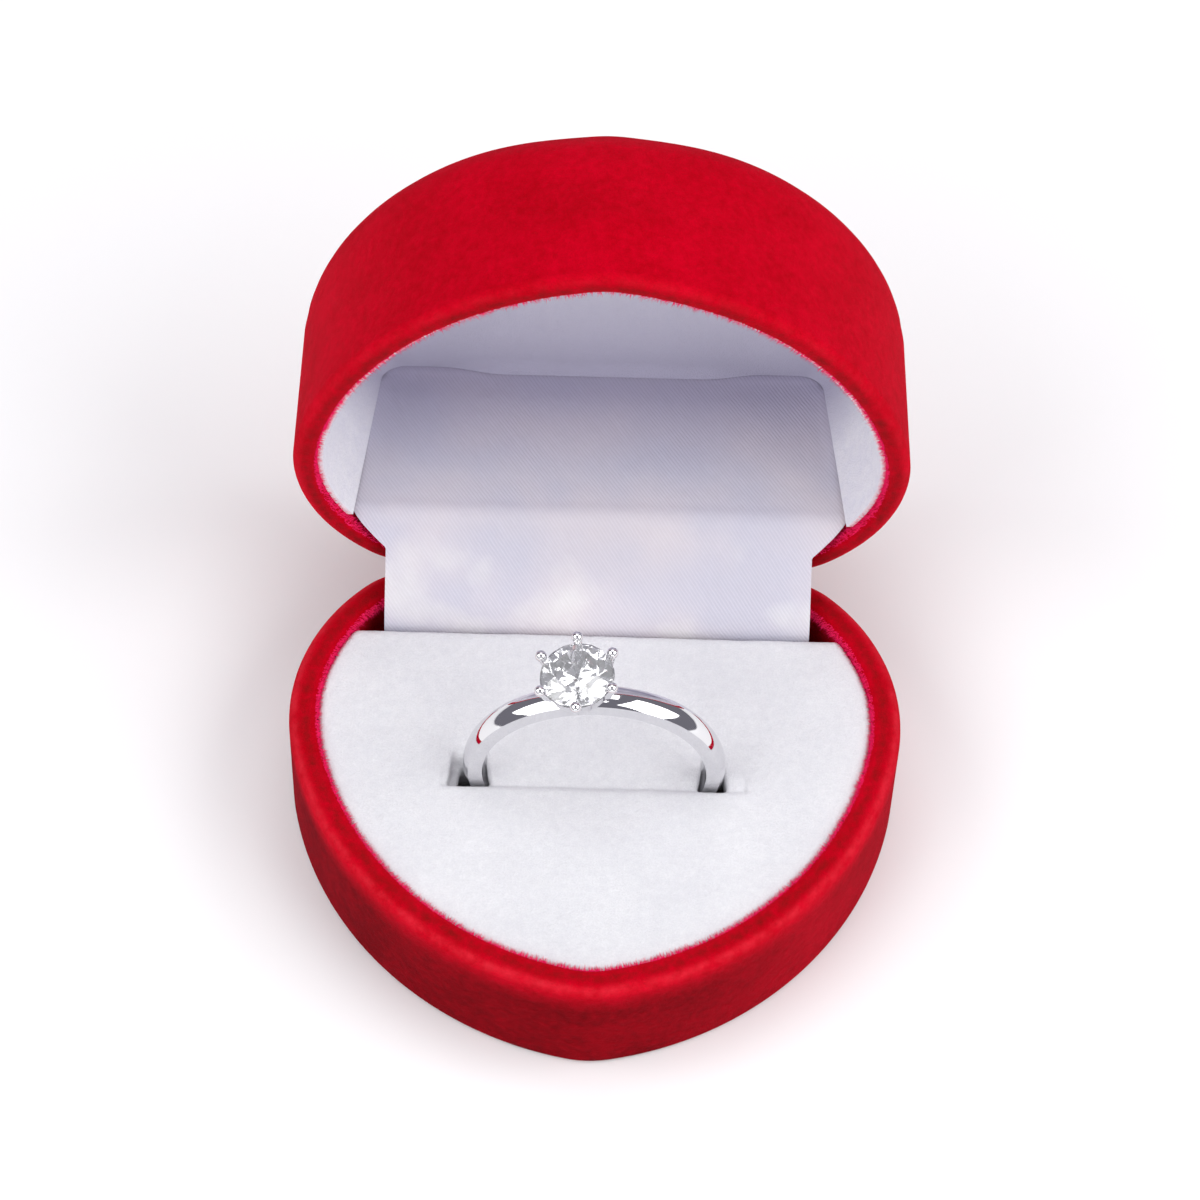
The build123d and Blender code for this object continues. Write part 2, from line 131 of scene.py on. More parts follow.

# lengths in metres: where painted shade darkens the lid's inside and the satin's rear, and where the hanging
# satin turns cloudy
LINER_DEEP_Y = (0.027, 0.0335)
LINER_DEEP_Z = (0.017, 0.034)
SATIN_HANGING = (0.0145, 0.0185)
SATIN_REAR_SHADE = (0.0, 0.0105)


# heart outline --------------------------------------------------------------------------------------
def turned(centre, radius, degrees):
    """The point of a circle at an angle."""
    angle = math.radians(degrees)
    return (centre[0] + radius * math.cos(angle), centre[1] + radius * math.sin(angle))


lobe_centre = (WIDTH / 2 - LOBE_RADIUS, 0.0)
side_centre = turned(lobe_centre, SIDE_RADIUS - LOBE_RADIUS, 180 - SIDE_START_DEG)
tip_centre = (0.0, side_centre[1] - math.sqrt((SIDE_RADIUS - TIP_RADIUS) ** 2 - side_centre[0] ** 2))
corner_centre = turned(lobe_centre, LOBE_RADIUS - CORNER_RADIUS, CORNER_START_DEG)
cleft_turn = math.degrees(math.acos(1 - CLEFT_DEPTH / (CORNER_RADIUS + CLEFT_RADIUS)))
cleft_centre = turned(corner_centre, CORNER_RADIUS + CLEFT_RADIUS, 90 + cleft_turn)
side_end = math.degrees(math.atan2(tip_centre[1] - side_centre[1], -side_centre[0]))
back_line = corner_centre[1] + CORNER_RADIUS
HINGE_Y = (back_line - tip_centre[1] + TIP_RADIUS) / 2
outline_shift = HINGE_Y - back_line


def heart_samples(spacing=0.35):
    """Points of the outline, tip and right side first, and the way an inset moves each of them."""
    arcs = [
        (tip_centre, TIP_RADIUS, -90.0, side_end, 1),
        (side_centre, SIDE_RADIUS, side_end, -SIDE_START_DEG, 1),
        (lobe_centre, LOBE_RADIUS, -SIDE_START_DEG, CORNER_START_DEG, 1),
        (corner_centre, CORNER_RADIUS, CORNER_START_DEG, 90 + cleft_turn, 1),
        (cleft_centre, CLEFT_RADIUS, cleft_turn - 90, -90.0, -1),
    ]
    points = []
    inward = []
    for centre, radius, start, end, side in arcs:
        count = max(3, int(abs(math.radians(end - start)) * radius / spacing))
        for step in range(count):
            angle = math.radians(start + (end - start) * step / count)
            way = (math.cos(angle), math.sin(angle))
            points.append((centre[0] + radius * way[0], centre[1] + radius * way[1]))
            inward.append((-side * way[0], -side * way[1]))
    flat_y = cleft_centre[1] - CLEFT_RADIUS
    count = int(cleft_centre[0] / spacing)
    for step in range(count):
        points.append((cleft_centre[0] * (1 - step / count), flat_y))
        inward.append((0.0, -1.0))
    points.append((0.0, flat_y))
    inward.append((0.0, -1.0))
    points = np.array(points)
    inward = np.array(inward)
    flip = np.array([-1.0, 1.0])
    points = np.vstack([points, (points[1:-1] * flip)[::-1]])
    inward = np.vstack([inward, (inward[1:-1] * flip)[::-1]])
    return points + [0.0, outline_shift], inward


outline_points, outline_inward = heart_samples()
OUTLINE_COUNT = len(outline_points)


def ring_at(inset, height):
    """The outline moved inwards, as points in millimetres."""
    flat = outline_points + outline_inward * inset
    return np.column_stack([flat, np.full(OUTLINE_COUNT, height)])


def swing_open(points):
    """The same points once the shut lid has been opened to a right angle."""
    x, y, z = points[:, 0], points[:, 1], points[:, 2]
    return np.column_stack([x, HINGE_Y + (z - HINGE_Z), HINGE_Z + (HINGE_Y - y)])


# mesh helpers ---------------------------------------------------------------------------------------
def mesh_object(name, points, faces, smooth=True):
    """A new object from points in millimetres."""
    mesh = bpy.data.meshes.new(name)
    mesh.from_pydata([tuple(point) for point in np.asarray(points) * MM], [], faces)
    mesh.validate()
    mesh.update()
    mesh.polygons.foreach_set("use_smooth", [smooth] * len(mesh.polygons))
    obj = bpy.data.objects.new(name, mesh)
    bpy.context.scene.collection.objects.link(obj)
    return obj


def ring_faces(ring_count, size):
    """Quads between neighbouring closed rings of points that are stored one after another."""
    faces = []
    for ring in range(ring_count - 1):
        near = ring * size
        far = near + size
        for here in range(size):
            after = (here + 1) % size
            faces.append((near + here, near + after, far + after, far + here))
    return faces


def caps(ring_count, size):
    """One face over the first ring and one over the last."""
    last = (ring_count - 1) * size
    return [tuple(range(size))[::-1], tuple(range(last, last + size))]


def prism_along_x(name, section, half_length):
    """A closed bar along X from its (y, z) section."""
    points = [(side * half_length, y, z) for side in (-1, 1) for y, z in section]
    faces = caps(2, len(section)) + ring_faces(2, len(section))
    return mesh_object(name, points, faces, smooth=False)


def corner(centre, radius, start_deg, end_deg, count=8):
    """Points round a fillet of a section, without its first point."""
    angles = np.radians(np.linspace(start_deg, end_deg, count + 1)[1:])
    return [(centre[0] + radius * math.cos(a), centre[1] + radius * math.sin(a)) for a in angles]


def smooth_step(share):
    """0 to 1 with a level start and end."""
    share = min(1.0, max(0.0, share))
    return share * share * (3 - 2 * share)


# shells ---------------------------------------------------------------------------------------------
def shell_section(wall, depth, skin, draft, far_edge, far_edge_inside):
    """The shell's section as (inset, distance from the rim), from the middle outside to the middle inside."""
    lean = math.degrees(math.atan(draft))
    far = depth * draft
    outside = [(far + far_edge, depth)]
    outside += corner((far + far_edge, depth - far_edge), far_edge, 90, 180 - lean, 10)
    steps = max(4, int(depth / 1.2))
    heights = np.linspace(depth - far_edge, RIM_OUTER_EDGE, steps + 1)[1:]
    wall_side = [(height * draft, height) for height in heights]
    flat_end = wall - RIM_INNER_EDGE
    rim = corner((RIM_OUTER_EDGE, RIM_OUTER_EDGE), RIM_OUTER_EDGE, 180, 270, 7)
    rim += [(inset, 0.0) for inset in np.linspace(RIM_OUTER_EDGE, flat_end, 7)[1:-1]]
    rim += [(flat_end, 0.0)]
    rim += corner((flat_end, RIM_INNER_EDGE), RIM_INNER_EDGE, 270, 360, 5)
    inside_depth = depth - skin
    heights = np.linspace(RIM_INNER_EDGE, inside_depth - far_edge_inside, steps + 1)[1:]
    inner = [(wall + height * draft, height) for height in heights]
    bottom = wall + inside_depth * draft
    inner += corner((bottom + far_edge_inside, inside_depth - far_edge_inside), far_edge_inside, 180, 90, 6)
    return outside + wall_side + rim + inner


def rim_place(section):
    """The number of the section's first point on the flat of the rim."""
    return min(place for place, (_, depth) in enumerate(section) if depth < 1e-6)


def section_wall(section):
    """The wall's thickness at the rim."""
    return max(inset for inset, depth in section if depth < 1e-6) + RIM_INNER_EDGE


def shell_rings(section, height_of, cut_height, tip_blunting):
    """The section carried round the heart: one ring of points for each of its places."""
    rim_start = rim_place(section)
    away = 1 if height_of(1) > height_of(0) else -1
    rings = []
    for place, (inset, depth) in enumerate(section):
        ring = ring_at(inset, height_of(depth))
        notch = (np.abs(ring[:, 0]) < CUT_HALF_WIDTH) & (ring[:, 1] > HINGE_Y - CLEFT_DEPTH - CUT_REACH)
        ring[notch, 2] = np.maximum(ring[notch, 2] * away, cut_height * away) * away
        blunt = tip_blunting * np.exp(-(ring[:, 0] / BLUNTING_HALF_WIDTH) ** 2) * (ring[:, 1] < 0)
        reach = min(1.0, max(0.0, (depth - BLUNTING_START) / BLUNTING_RUN))
        if place >= rim_start:
            reach = 0.0
        ring[:, 1] += blunt * reach
        rings.append(ring)
    return rings


def mark_shell(shell, section, highlight, shade):
    """Marks on the points for the flock: a darker line along the middle of the rim, a painted highlight on
    its outer edge and painted shade on the lower outer wall.
    """
    ends = len(END_SCALES)
    insets = np.array([0.0] * ends + [inset for inset, _ in section] + [FAR_FROM_RIM] * ends)
    depths = np.array([FAR_FROM_RIM] * ends + [depth for _, depth in section] + [FAR_FROM_RIM] * ends)
    outside = np.arange(len(depths)) < rim_place(section) + ends
    # a darker line along the middle of the rim
    rim_line = np.exp(-((insets - section_wall(section) * RIM_LINE_AT) / RIM_LINE_SPREAD) ** 2) * (depths < 0.35)
    # painted highlight on the rim's outer rounding
    edge_highlight = highlight * np.exp(-((insets - HIGHLIGHT_INSET) / HIGHLIGHT_SPREAD) ** 2) * (depths < RIM_OUTER_EDGE)
    # painted shade: the outer wall darkens below the rim
    low_wall = shade * outside * np.clip((depths - SHADE_START) / SHADE_RUN, 0, 1)
    # the painted shade is weaker on the right side, where the light falls
    right_side = np.clip((outline_points[:, 0] - 6.0) / 12.0, 0, 1)
    even = np.ones(OUTLINE_COUNT)
    marks = (("rim_line", rim_line, even), ("edge_highlight", edge_highlight, even), ("low_wall", low_wall, 1 - 0.45 * right_side))
    for label, per_ring, round_heart in marks:
        values = np.append(np.outer(per_ring, round_heart).ravel(), [0.0, 0.0])
        layer = shell.data.attributes.new(label, "FLOAT", "POINT")
        layer.data.foreach_set("value", values.astype(np.float32))


def swept_shell(name, section, height_of, cut_height, opened, tip_blunting, highlight, shade):
    """A shell swept round the heart from its section, both flat ends closed."""
    rings = shell_rings(section, height_of, cut_height, tip_blunting)
    first = rings[0]
    last = rings[-1]
    for scale in END_SCALES:
        head = first.copy()
        head[:, :2] = first[:, :2] * scale
        rings.insert(0, head)
        tail = last.copy()
        tail[:, :2] = last[:, :2] * scale
        rings.append(tail)
    middles = [[0.0, 0.0, rings[0][0, 2]], [0.0, 0.0, rings[-1][0, 2]]]
    points = np.vstack(rings + [np.array(middles)])
    faces = ring_faces(len(rings), OUTLINE_COUNT)
    middle = len(points) - 2
    top = (len(rings) - 1) * OUTLINE_COUNT
    for here in range(OUTLINE_COUNT):
        after = (here + 1) % OUTLINE_COUNT
        faces.append((middle, after, here))
        faces.append((middle + 1, top + here, top + after))
    shell = mesh_object(name, swing_open(points) if opened else points, faces)
    mark_shell(shell, section, highlight, shade)
    mesh = bmesh.new()
    mesh.from_mesh(shell.data)
    bmesh.ops.recalc_face_normals(mesh, faces=mesh.faces)
    mesh.to_mesh(shell.data)
    mesh.free()
    return shell


def base_height(depth):
    """The height of a point of the base at a distance from its rim."""
    return BASE_RIM - depth


def lid_height(depth):
    """The height of a point of the shut lid at a distance from its rim."""
    return LID_RIM + depth


base_section = shell_section(BASE_WALL, BASE_RIM, FLOOR, BASE_DRAFT, FOOT_EDGE, RIM_INNER_EDGE)
lid_section = shell_section(LID_WALL, LID_TOP - LID_RIM, ROOF, LID_DRAFT, CROWN_EDGE, CROWN_EDGE_INSIDE)
# the base gets the painted edge highlight and the painted wall shade, the lid only a faint highlight
base_shell = swept_shell(
    "base_shell_flocked", base_section, base_height, HINGE_Z - RIM_CUT,
    opened=False, tip_blunting=0.0, highlight=0.6, shade=1.0,
)
lid_shell = swept_shell(
    "lid_shell_flocked", lid_section, lid_height, HINGE_Z + RIM_CUT,
    opened=True, tip_blunting=LID_TIP_BLUNTING, highlight=0.15, shade=0.0,
)


# materials ------------------------------------------------------------------------------------------
class Paint:
    """A material under construction: its node tree and small helpers for wiring it."""

    def __init__(self, name):
        self.material = bpy.data.materials.new(name)
        self.material.use_nodes = True
        self.tree = self.material.node_tree
        self.shader = self.tree.nodes["Principled BSDF"]
        self.where = self.tree.nodes.new("ShaderNodeTexCoord").outputs["Object"]

    def node(self, kind, **values):
        made = self.tree.nodes.new(kind)
        for key, value in values.items():
            setattr(made, key, value)
        return made

    def wire(self, source, target):
        self.tree.links.new(source, target)

    def noise(self, scale, detail=2.0, rough=0.5):
        made = self.node("ShaderNodeTexNoise")
        made.inputs["Scale"].default_value = scale
        made.inputs["Detail"].default_value = detail
        made.inputs["Roughness"].default_value = rough
        self.wire(self.where, made.inputs["Vector"])
        return made.outputs["Fac"]

    def mark(self, label):
        return self.node("ShaderNodeAttribute", attribute_name=label).outputs["Fac"]

    def place(self, source):
        made = self.node("ShaderNodeSeparateXYZ")
        self.wire(source, made.inputs["Vector"])
        return made.outputs

    def math(self, operation, first, second):
        made = self.node("ShaderNodeMath", operation=operation)
        for socket, value in zip(made.inputs, (first, second)):
            if isinstance(value, (int, float)):
                socket.default_value = value
            else:
                self.wire(value, socket)
        return made.outputs[0]

    def spread(self, value, low, high, out_low=0.0, out_high=1.0):
        made = self.node("ShaderNodeMapRange")
        self.wire(value, made.inputs[0])
        for socket, number in zip(list(made.inputs)[1:5], (low, high, out_low, out_high)):
            socket.default_value = number
        return made.outputs[0]

    def mix(self, amount, first, second):
        made = self.node("ShaderNodeMix", data_type="RGBA")
        for socket, value in ((made.inputs[0], amount), (made.inputs[6], first), (made.inputs[7], second)):
            if isinstance(value, tuple):
                socket.default_value = (*value, 1.0)
            else:
                self.wire(value, socket)
        return made.outputs[2]

    def colour(self, value):
        if isinstance(value, tuple):
            self.shader.inputs["Base Color"].default_value = (*value, 1.0)
        else:
            self.wire(value, self.shader.inputs["Base Color"])

    def bump(self, height, strength, distance):
        made = self.node("ShaderNodeBump")
        made.inputs["Strength"].default_value = strength
        made.inputs["Distance"].default_value = distance
        self.wire(height, made.inputs["Height"])
        self.wire(made.outputs["Normal"], self.shader.inputs["Normal"])

    def set(self, **values):
        for key, value in values.items():
            self.shader.inputs[key.replace("_", " ")].default_value = value


def rim_line_and_painted_light(paint, colour, tone, rim_line_colour):
    """The shells' marks: a darker line along the middle of the rim, a painted highlight on its outer edge and
    painted shade that darkens the lower outer wall.
    """
    broken = paint.spread(paint.noise(900.0, 4.0, 0.65), 0.36, 0.66, 0.25, 1.0)
    # a darker line along the middle of the rim
    rim_line = paint.math("MULTIPLY", paint.mark("rim_line"), broken)
    colour = paint.mix(paint.math("MULTIPLY", rim_line, 0.85), colour, rim_line_colour)
    # painted highlight on the rim's outer rounding
    edge_highlight = paint.math("MULTIPLY", paint.mark("edge_highlight"), broken)
    colour = paint.mix(edge_highlight, colour, (0.74, 0.03, 0.05))
    # painted shade on the lower outer wall
    wall_shade_red = paint.mix(paint.spread(tone, 0.38, 0.62), (0.09, 0.0, 0.0), (0.20, 0.0, 0.002))
    return paint.mix(paint.math("MULTIPLY", paint.mark("low_wall"), 0.85), colour, wall_shade_red)


def flock(name, dark, light, sheen_tint, sheen, rim_line_colour=None, depth_shade=None):
    """Short dense pile: mottled colour, soft sheen and a fine broken surface."""
    paint = Paint(name)
    pile = paint.noise(7000.0, 3.0, 0.7)
    clump = paint.noise(1500.0, 3.0, 0.6)
    patch = paint.noise(160.0, 3.0, 0.55)
    tone = paint.math("ADD", paint.math("MULTIPLY", clump, 0.5), paint.math("MULTIPLY", patch, 0.5))
    colour = paint.mix(paint.spread(tone, 0.36, 0.64), dark, light)
    speck = paint.math("MULTIPLY", paint.spread(pile, 0.35, 0.7), 0.22)
    colour = paint.mix(speck, colour, tuple(part * 0.62 for part in dark))
    if rim_line_colour:
        colour = rim_line_and_painted_light(paint, colour, tone, rim_line_colour)
    # painted shade: the liner darkens towards the back of the open lid, most at its lower end
    if depth_shade:
        place = paint.place(paint.where)
        behind = paint.spread(place["Y"], *LINER_DEEP_Y)
        low = paint.spread(place["Z"], *LINER_DEEP_Z, 1.0, 0.35)
        colour = paint.mix(paint.math("MULTIPLY", behind, low), colour, depth_shade)
    paint.colour(colour)
    paint.set(Roughness=0.95, Specular_IOR_Level=0.01, Sheen_Weight=sheen, Sheen_Roughness=0.45)
    paint.set(Sheen_Tint=(*sheen_tint, 1.0))
    relief = paint.math("ADD", paint.math("MULTIPLY", pile, 0.7), paint.math("MULTIPLY", clump, 0.6))
    paint.bump(relief, 0.55, 0.00025)
    return paint.material


def fibre_material():
    """Single red fibres with a painted glow that stands in for the light passing through them."""
    paint = Paint("red_fibre")
    paint.colour(paint.mix(paint.noise(1500.0), (0.72, 0.01, 0.08), (0.90, 0.03, 0.16)))
    # the emission is a painted glow
    paint.set(Roughness=0.9, Specular_IOR_Level=0.01, Emission_Strength=0.16)
    paint.set(Emission_Color=(0.9, 0.02, 0.13, 1.0))
    return paint.material


def metal(name, colour, rough, scratch):
    """Bare metal with fine uneven polish."""
    paint = Paint(name)
    paint.colour(colour)
    marks = paint.noise(2600.0, 4.0, 0.6)
    paint.set(Metallic=1.0)
    paint.wire(paint.spread(marks, 0.3, 0.7, rough * 0.7, rough * 1.5), paint.shader.inputs["Roughness"])
    paint.bump(marks, scratch, 0.00002)
    return paint.material


def cut_stone():
    """Clear cut stone with a faint haze and a little painted glow."""
    paint = Paint("stone")
    paint.colour(paint.mix(paint.noise(900.0), (0.97, 0.98, 1.0), (1.0, 1.0, 1.0)))
    # the emission is a painted glow
    paint.set(Roughness=0.0, Transmission_Weight=0.9, IOR=2.1, Emission_Strength=0.03)
    paint.set(Emission_Color=(0.95, 0.97, 1.0, 1.0))
    return paint.material


def foam_material():
    """White foam with small open cells."""
    paint = Paint("white_foam")
    cells = paint.node("ShaderNodeTexVoronoi")
    cells.inputs["Scale"].default_value = 2600.0
    paint.wire(paint.where, cells.inputs["Vector"])
    distance = cells.outputs["Distance"]
    paint.colour(paint.mix(paint.spread(distance, 0.0, 0.6), (0.62, 0.62, 0.62), (0.84, 0.84, 0.84)))
    paint.set(Roughness=0.9, Specular_IOR_Level=0.1)
    paint.bump(distance, 0.6, 0.0002)
    return paint.material


def card_material():
    """Grey card with visible fibre."""
    paint = Paint("card")
    fibre = paint.noise(1800.0, 5.0, 0.65)
    paint.colour(paint.mix(paint.spread(fibre, 0.3, 0.7), (0.50, 0.49, 0.46), (0.66, 0.65, 0.62)))
    paint.set(Roughness=0.85, Specular_IOR_Level=0.15)
    paint.bump(fibre, 0.3, 0.0001)
    return paint.material


def satin_material():
    """Satin: fine diagonal twill, warm and cool tints, cloudy where it hangs and painted shade at the rear.
    """
    paint = Paint("satin")
    weave = paint.node("ShaderNodeUVMap", uv_map="weave").outputs["UV"]
    turn = paint.node("ShaderNodeMapping")
    paint.wire(weave, turn.inputs["Vector"])
    turn.inputs["Rotation"].default_value = (0.0, 0.0, math.radians(34))
    twill = paint.node("ShaderNodeTexWave", wave_type="BANDS", bands_direction="X")
    twill.inputs["Scale"].default_value = 1250.0
    twill.inputs["Distortion"].default_value = 0.6
    twill.inputs["Detail"].default_value = 1.0
    paint.wire(turn.outputs["Vector"], twill.inputs["Vector"])
    lines = twill.outputs["Fac"]
    along = paint.place(weave)["Y"]
    warm = paint.spread(paint.noise(110.0), 0.38, 0.72)
    colour = paint.mix(warm, (0.54, 0.53, 0.62), (0.67, 0.61, 0.64))
    hanging = paint.spread(along, *SATIN_HANGING, 0.0, 0.6)
    cloud = paint.spread(paint.noise(210.0, 2.0, 0.4), 0.5, 0.72)
    colour = paint.mix(paint.math("MULTIPLY", cloud, hanging), colour, (0.78, 0.78, 0.76))
    thread = paint.noise(5200.0)
    colour = paint.mix(paint.math("MULTIPLY", lines, 0.2), colour, (0.93, 0.90, 0.95))
    colour = paint.mix(paint.math("MULTIPLY", thread, 0.12), colour, (0.60, 0.58, 0.66))
    # painted shade: the satin darkens towards its rear end by the lid's ceiling
    colour = paint.mix(paint.spread(along, *SATIN_REAR_SHADE, 0.85, 0.0), colour, (0.36, 0.33, 0.46))
    paint.colour(colour)
    paint.set(Roughness=0.42, Specular_IOR_Level=0.35, Anisotropic=0.4)
    paint.set(Sheen_Weight=0.25, Sheen_Roughness=0.3)
    paint.bump(paint.math("ADD", lines, paint.math("MULTIPLY", thread, 0.5)), 0.28, 0.00006)
    return paint.material


WHITE = (1.0, 1.0, 1.0)
red_flock = flock(
    "red_flock", (0.44, 0.0, 0.006), (0.62, 0.0, 0.014), (1.0, 0.16, 0.24), 0.14,
    rim_line_colour=(0.20, 0.006, 0.006),
)
white_flock = flock("white_flock", (0.72, 0.72, 0.75), (0.79, 0.79, 0.81), WHITE, 0.1)
# the liner carries painted shade towards the back of the open lid
liner_flock = flock(
    "liner_flock", (0.86, 0.85, 0.92), (0.95, 0.94, 0.97), WHITE, 0.15,
    depth_shade=(0.47, 0.45, 0.57),
)
red_fibre = fibre_material()
ring_metal = metal("ring_metal", (0.77, 0.765, 0.78), 0.045, 0.05)
hinge_steel = metal("hinge_steel", (0.62, 0.60, 0.56), 0.28, 0.3)
stone_material = cut_stone()
white_foam = foam_material()
grey_card = card_material()
satin = satin_material()


def dress(obj, material):
    """Give a piece one material."""
    obj.data.materials.clear()
    obj.data.materials.append(material)
    return obj


dress(nodes["lid_liner"], liner_flock)
dress(nodes["lid_card"], grey_card)
dress(nodes["ring_pad_foam"], white_foam)
for name in ("hinge_leaf_base", "hinge_leaf_lid", "hinge_pin", "hinge_spring"):
    dress(nodes[name], hinge_steel)
dress(nodes["ring_band"], ring_metal)
dress(nodes["ring_head"], ring_metal)
dress(nodes["ring_stone"], stone_material)

for shell, node, body in ((base_shell, "base_shell", "base"), (lid_shell, "lid_shell", "lid")):
    dress(shell, red_flock)
    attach(shell, body)
    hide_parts(node)


# pile along the rims --------------------------------------------------------------------------------
def rim_roots(section, height_of, away):
    """Random places on the rim's inner edge, each with the way its fibre stands."""
    wall = section_wall(section)
    roots = []
    ways = []
    for _ in range(PILE_COUNT):
        along = random.random() * OUTLINE_COUNT
        here = int(along) % OUTLINE_COUNT
        after = (here + 1) % OUTLINE_COUNT
        share = along - int(along)
        point = outline_points[here] * (1 - share) + outline_points[after] * share
        normal = outline_inward[here] * (1 - share) + outline_inward[after] * share
        place = random.uniform(40, 125)
        turn = math.radians(min(place, 90))
        inset = wall - RIM_INNER_EDGE + RIM_INNER_EDGE * math.sin(turn)
        depth = RIM_INNER_EDGE * (1 - math.cos(turn)) + max(0, place - 90) * 0.012
        flat = point + normal * inset
        if abs(flat[0]) < CUT_HALF_WIDTH and flat[1] > 10:
            continue
        roots.append((flat[0], flat[1], height_of(depth)))
        ways.append((normal[0], normal[1], -away * 0.3 * math.cos(turn)))
    return roots, ways


def fibres(name, roots, ways, low, high, opened):
    """Single flock fibres: thin three sided spikes, each leaning its own way, kept between two heights."""
    points = []
    faces = []
    for root, way in zip(roots, ways):
        reach = PILE_LENGTH * random.uniform(0.45, 1.15)
        lean = Vector((random.gauss(0, 1), random.gauss(0, 1), random.gauss(0, 1))) * 0.42
        up = (Vector(way) + lean).normalized()
        side = up.orthogonal().normalized()
        across = up.cross(side)
        start = len(points)
        width = random.uniform(0.02, 0.034)
        for edge in range(3):
            angle = edge * math.tau / 3
            points.append(Vector(root) + (side * math.cos(angle) + across * math.sin(angle)) * width)
            faces.append((start + edge, start + (edge + 1) % 3, start + 3))
        points.append(Vector(root) + up * reach)
    points = np.array([tuple(point) for point in points])
    points[:, 2] = np.clip(points[:, 2], low, high)
    obj = mesh_object(name, swing_open(points) if opened else points, faces)
    obj.data.materials.append(red_fibre)
    return obj


rim_piles = (
    ("base_rim_pile", "base", base_section, base_height, -1, BASE_RIM - 1.0, HINGE_Z - PILE_CLEARANCE),
    ("lid_rim_pile", "lid", lid_section, lid_height, 1, HINGE_Z + PILE_CLEARANCE, LID_RIM + 1.0),
)
for name, body, section, height_of, away, low, high in rim_piles:
    roots, ways = rim_roots(section, height_of, away)
    pile = fibres(name, roots, ways, low, high, body == "lid")
    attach(pile, body)


# ring pad -------------------------------------------------------------------------------------------
def foam_bridge(low, high, drop, front, rear):
    """Foam that closes up behind the slot's front lip between two places along X, its ends rounded."""
    floor = PAD_TOP - BRIDGE_DEPTH
    crest = PAD_TOP - drop
    end_steps = [step / 6 for step in range(7)]
    stations = [(low + BRIDGE_SOFT_END * share, share) for share in end_steps]
    stations += [(high - BRIDGE_SOFT_END * (1 - share), 1 - share) for share in end_steps]
    points = []
    for x, share in stations:
        grown = math.sqrt(max(0.0, 1 - (1 - share) ** 2)) * 0.98 + 0.02
        near = rear + (front - rear) * grown
        points.append((x, near, floor))
        for degrees in range(0, 91, 10):
            angle = math.radians(degrees)
            depth = BRIDGE_LIP * (1 - math.sin(angle))
            points.append((x, rear - (rear - near) * math.cos(angle), crest - depth))
        points.append((x, rear, floor))
    size = len(points) // len(stations)
    faces = caps(len(stations), size) + ring_faces(len(stations), size)
    return mesh_object("foam_bridge", points, faces, smooth=False)


def rounded_edge(y, radius, facing, degrees):
    """Section points (y, z) round an edge of the pad's top that faces forwards (1) or backwards (-1)."""
    places = []
    for angle in np.radians(degrees):
        inward = radius * (1 - math.cos(angle))
        places.append((y + facing * inward, PAD_TOP - radius * (1 - math.sin(angle))))
    return places


def pad_blank():
    """The pad's heart shaped block with a rounded top edge."""
    inset = BASE_WALL + PAD_CLEARANCE
    rings = [ring_at(inset, PAD_BLANK_BOTTOM), ring_at(inset, PAD_TOP - PAD_EDGE)]
    for angle in np.radians((15, 30, 45, 60, 75, 90)):
        drop = PAD_EDGE * (1 - math.sin(angle))
        rings.append(ring_at(inset + PAD_EDGE * (1 - math.cos(angle)), PAD_TOP - drop))
    faces = ring_faces(len(rings), OUTLINE_COUNT) + caps(len(rings), OUTLINE_COUNT)[::-1]
    return mesh_object("ring_pad", np.vstack(rings), faces, smooth=False)


def pad_mesh():
    """The white pad's skin with its slot, its back half rolled down into the slot."""
    pad = pad_blank()
    front = SLOT_Y - SLOT_HALF_WIDTH
    rear = SLOT_Y + SLOT_HALF_WIDTH
    slot = [(front, SLOT_BOTTOM), (rear, SLOT_BOTTOM)]
    slot += rounded_edge(rear, SLOT_ROLL, 1, range(0, 91, 10))
    slot += [(rear + SLOT_ROLL, PAD_TOP + 2), (front - SLOT_LIP, PAD_TOP + 2)]
    slot += rounded_edge(front, SLOT_LIP, -1, range(90, -1, -15))
    cutter = prism_along_x("cutter", slot, SLOT_HALF_LENGTH)
    back_edge = [(-30, 0), (PAD_BACK, 0)]
    back_edge += rounded_edge(PAD_BACK, PAD_BACK_EDGE, -1, range(0, 91, 15))
    back_edge += [(PAD_BACK - PAD_BACK_EDGE - 0.05, 20), (-30, 20)]
    keep = prism_along_x("keep", back_edge, 40)
    bridge_front = front + BRIDGE_GAP
    bridge_rear = rear + SLOT_ROLL
    bridges = [foam_bridge(*bridge, bridge_front, bridge_rear) for bridge in FOAM_BRIDGES]
    steps = [(cutter, "DIFFERENCE")] + [(bridge, "UNION") for bridge in bridges] + [(keep, "INTERSECT")]
    for tool, operation in steps:
        cut = pad.modifiers.new("cut", "BOOLEAN")
        cut.object = tool
        cut.operation = operation
        cut.solver = "EXACT"
    remesh = pad.modifiers.new("remesh", "REMESH")
    remesh.mode = "VOXEL"
    remesh.voxel_size = PAD_VOXEL * MM
    soften = pad.modifiers.new("soften", "SMOOTH")
    soften.factor = 0.5
    soften.iterations = 5
    shaped = bpy.data.meshes.new_from_object(pad.evaluated_get(bpy.context.evaluated_depsgraph_get()))
    pad.modifiers.clear()
    pad.data = shaped
    for tool, _ in steps:
        bpy.data.objects.remove(tool)
    finish_pad(pad)
    return pad


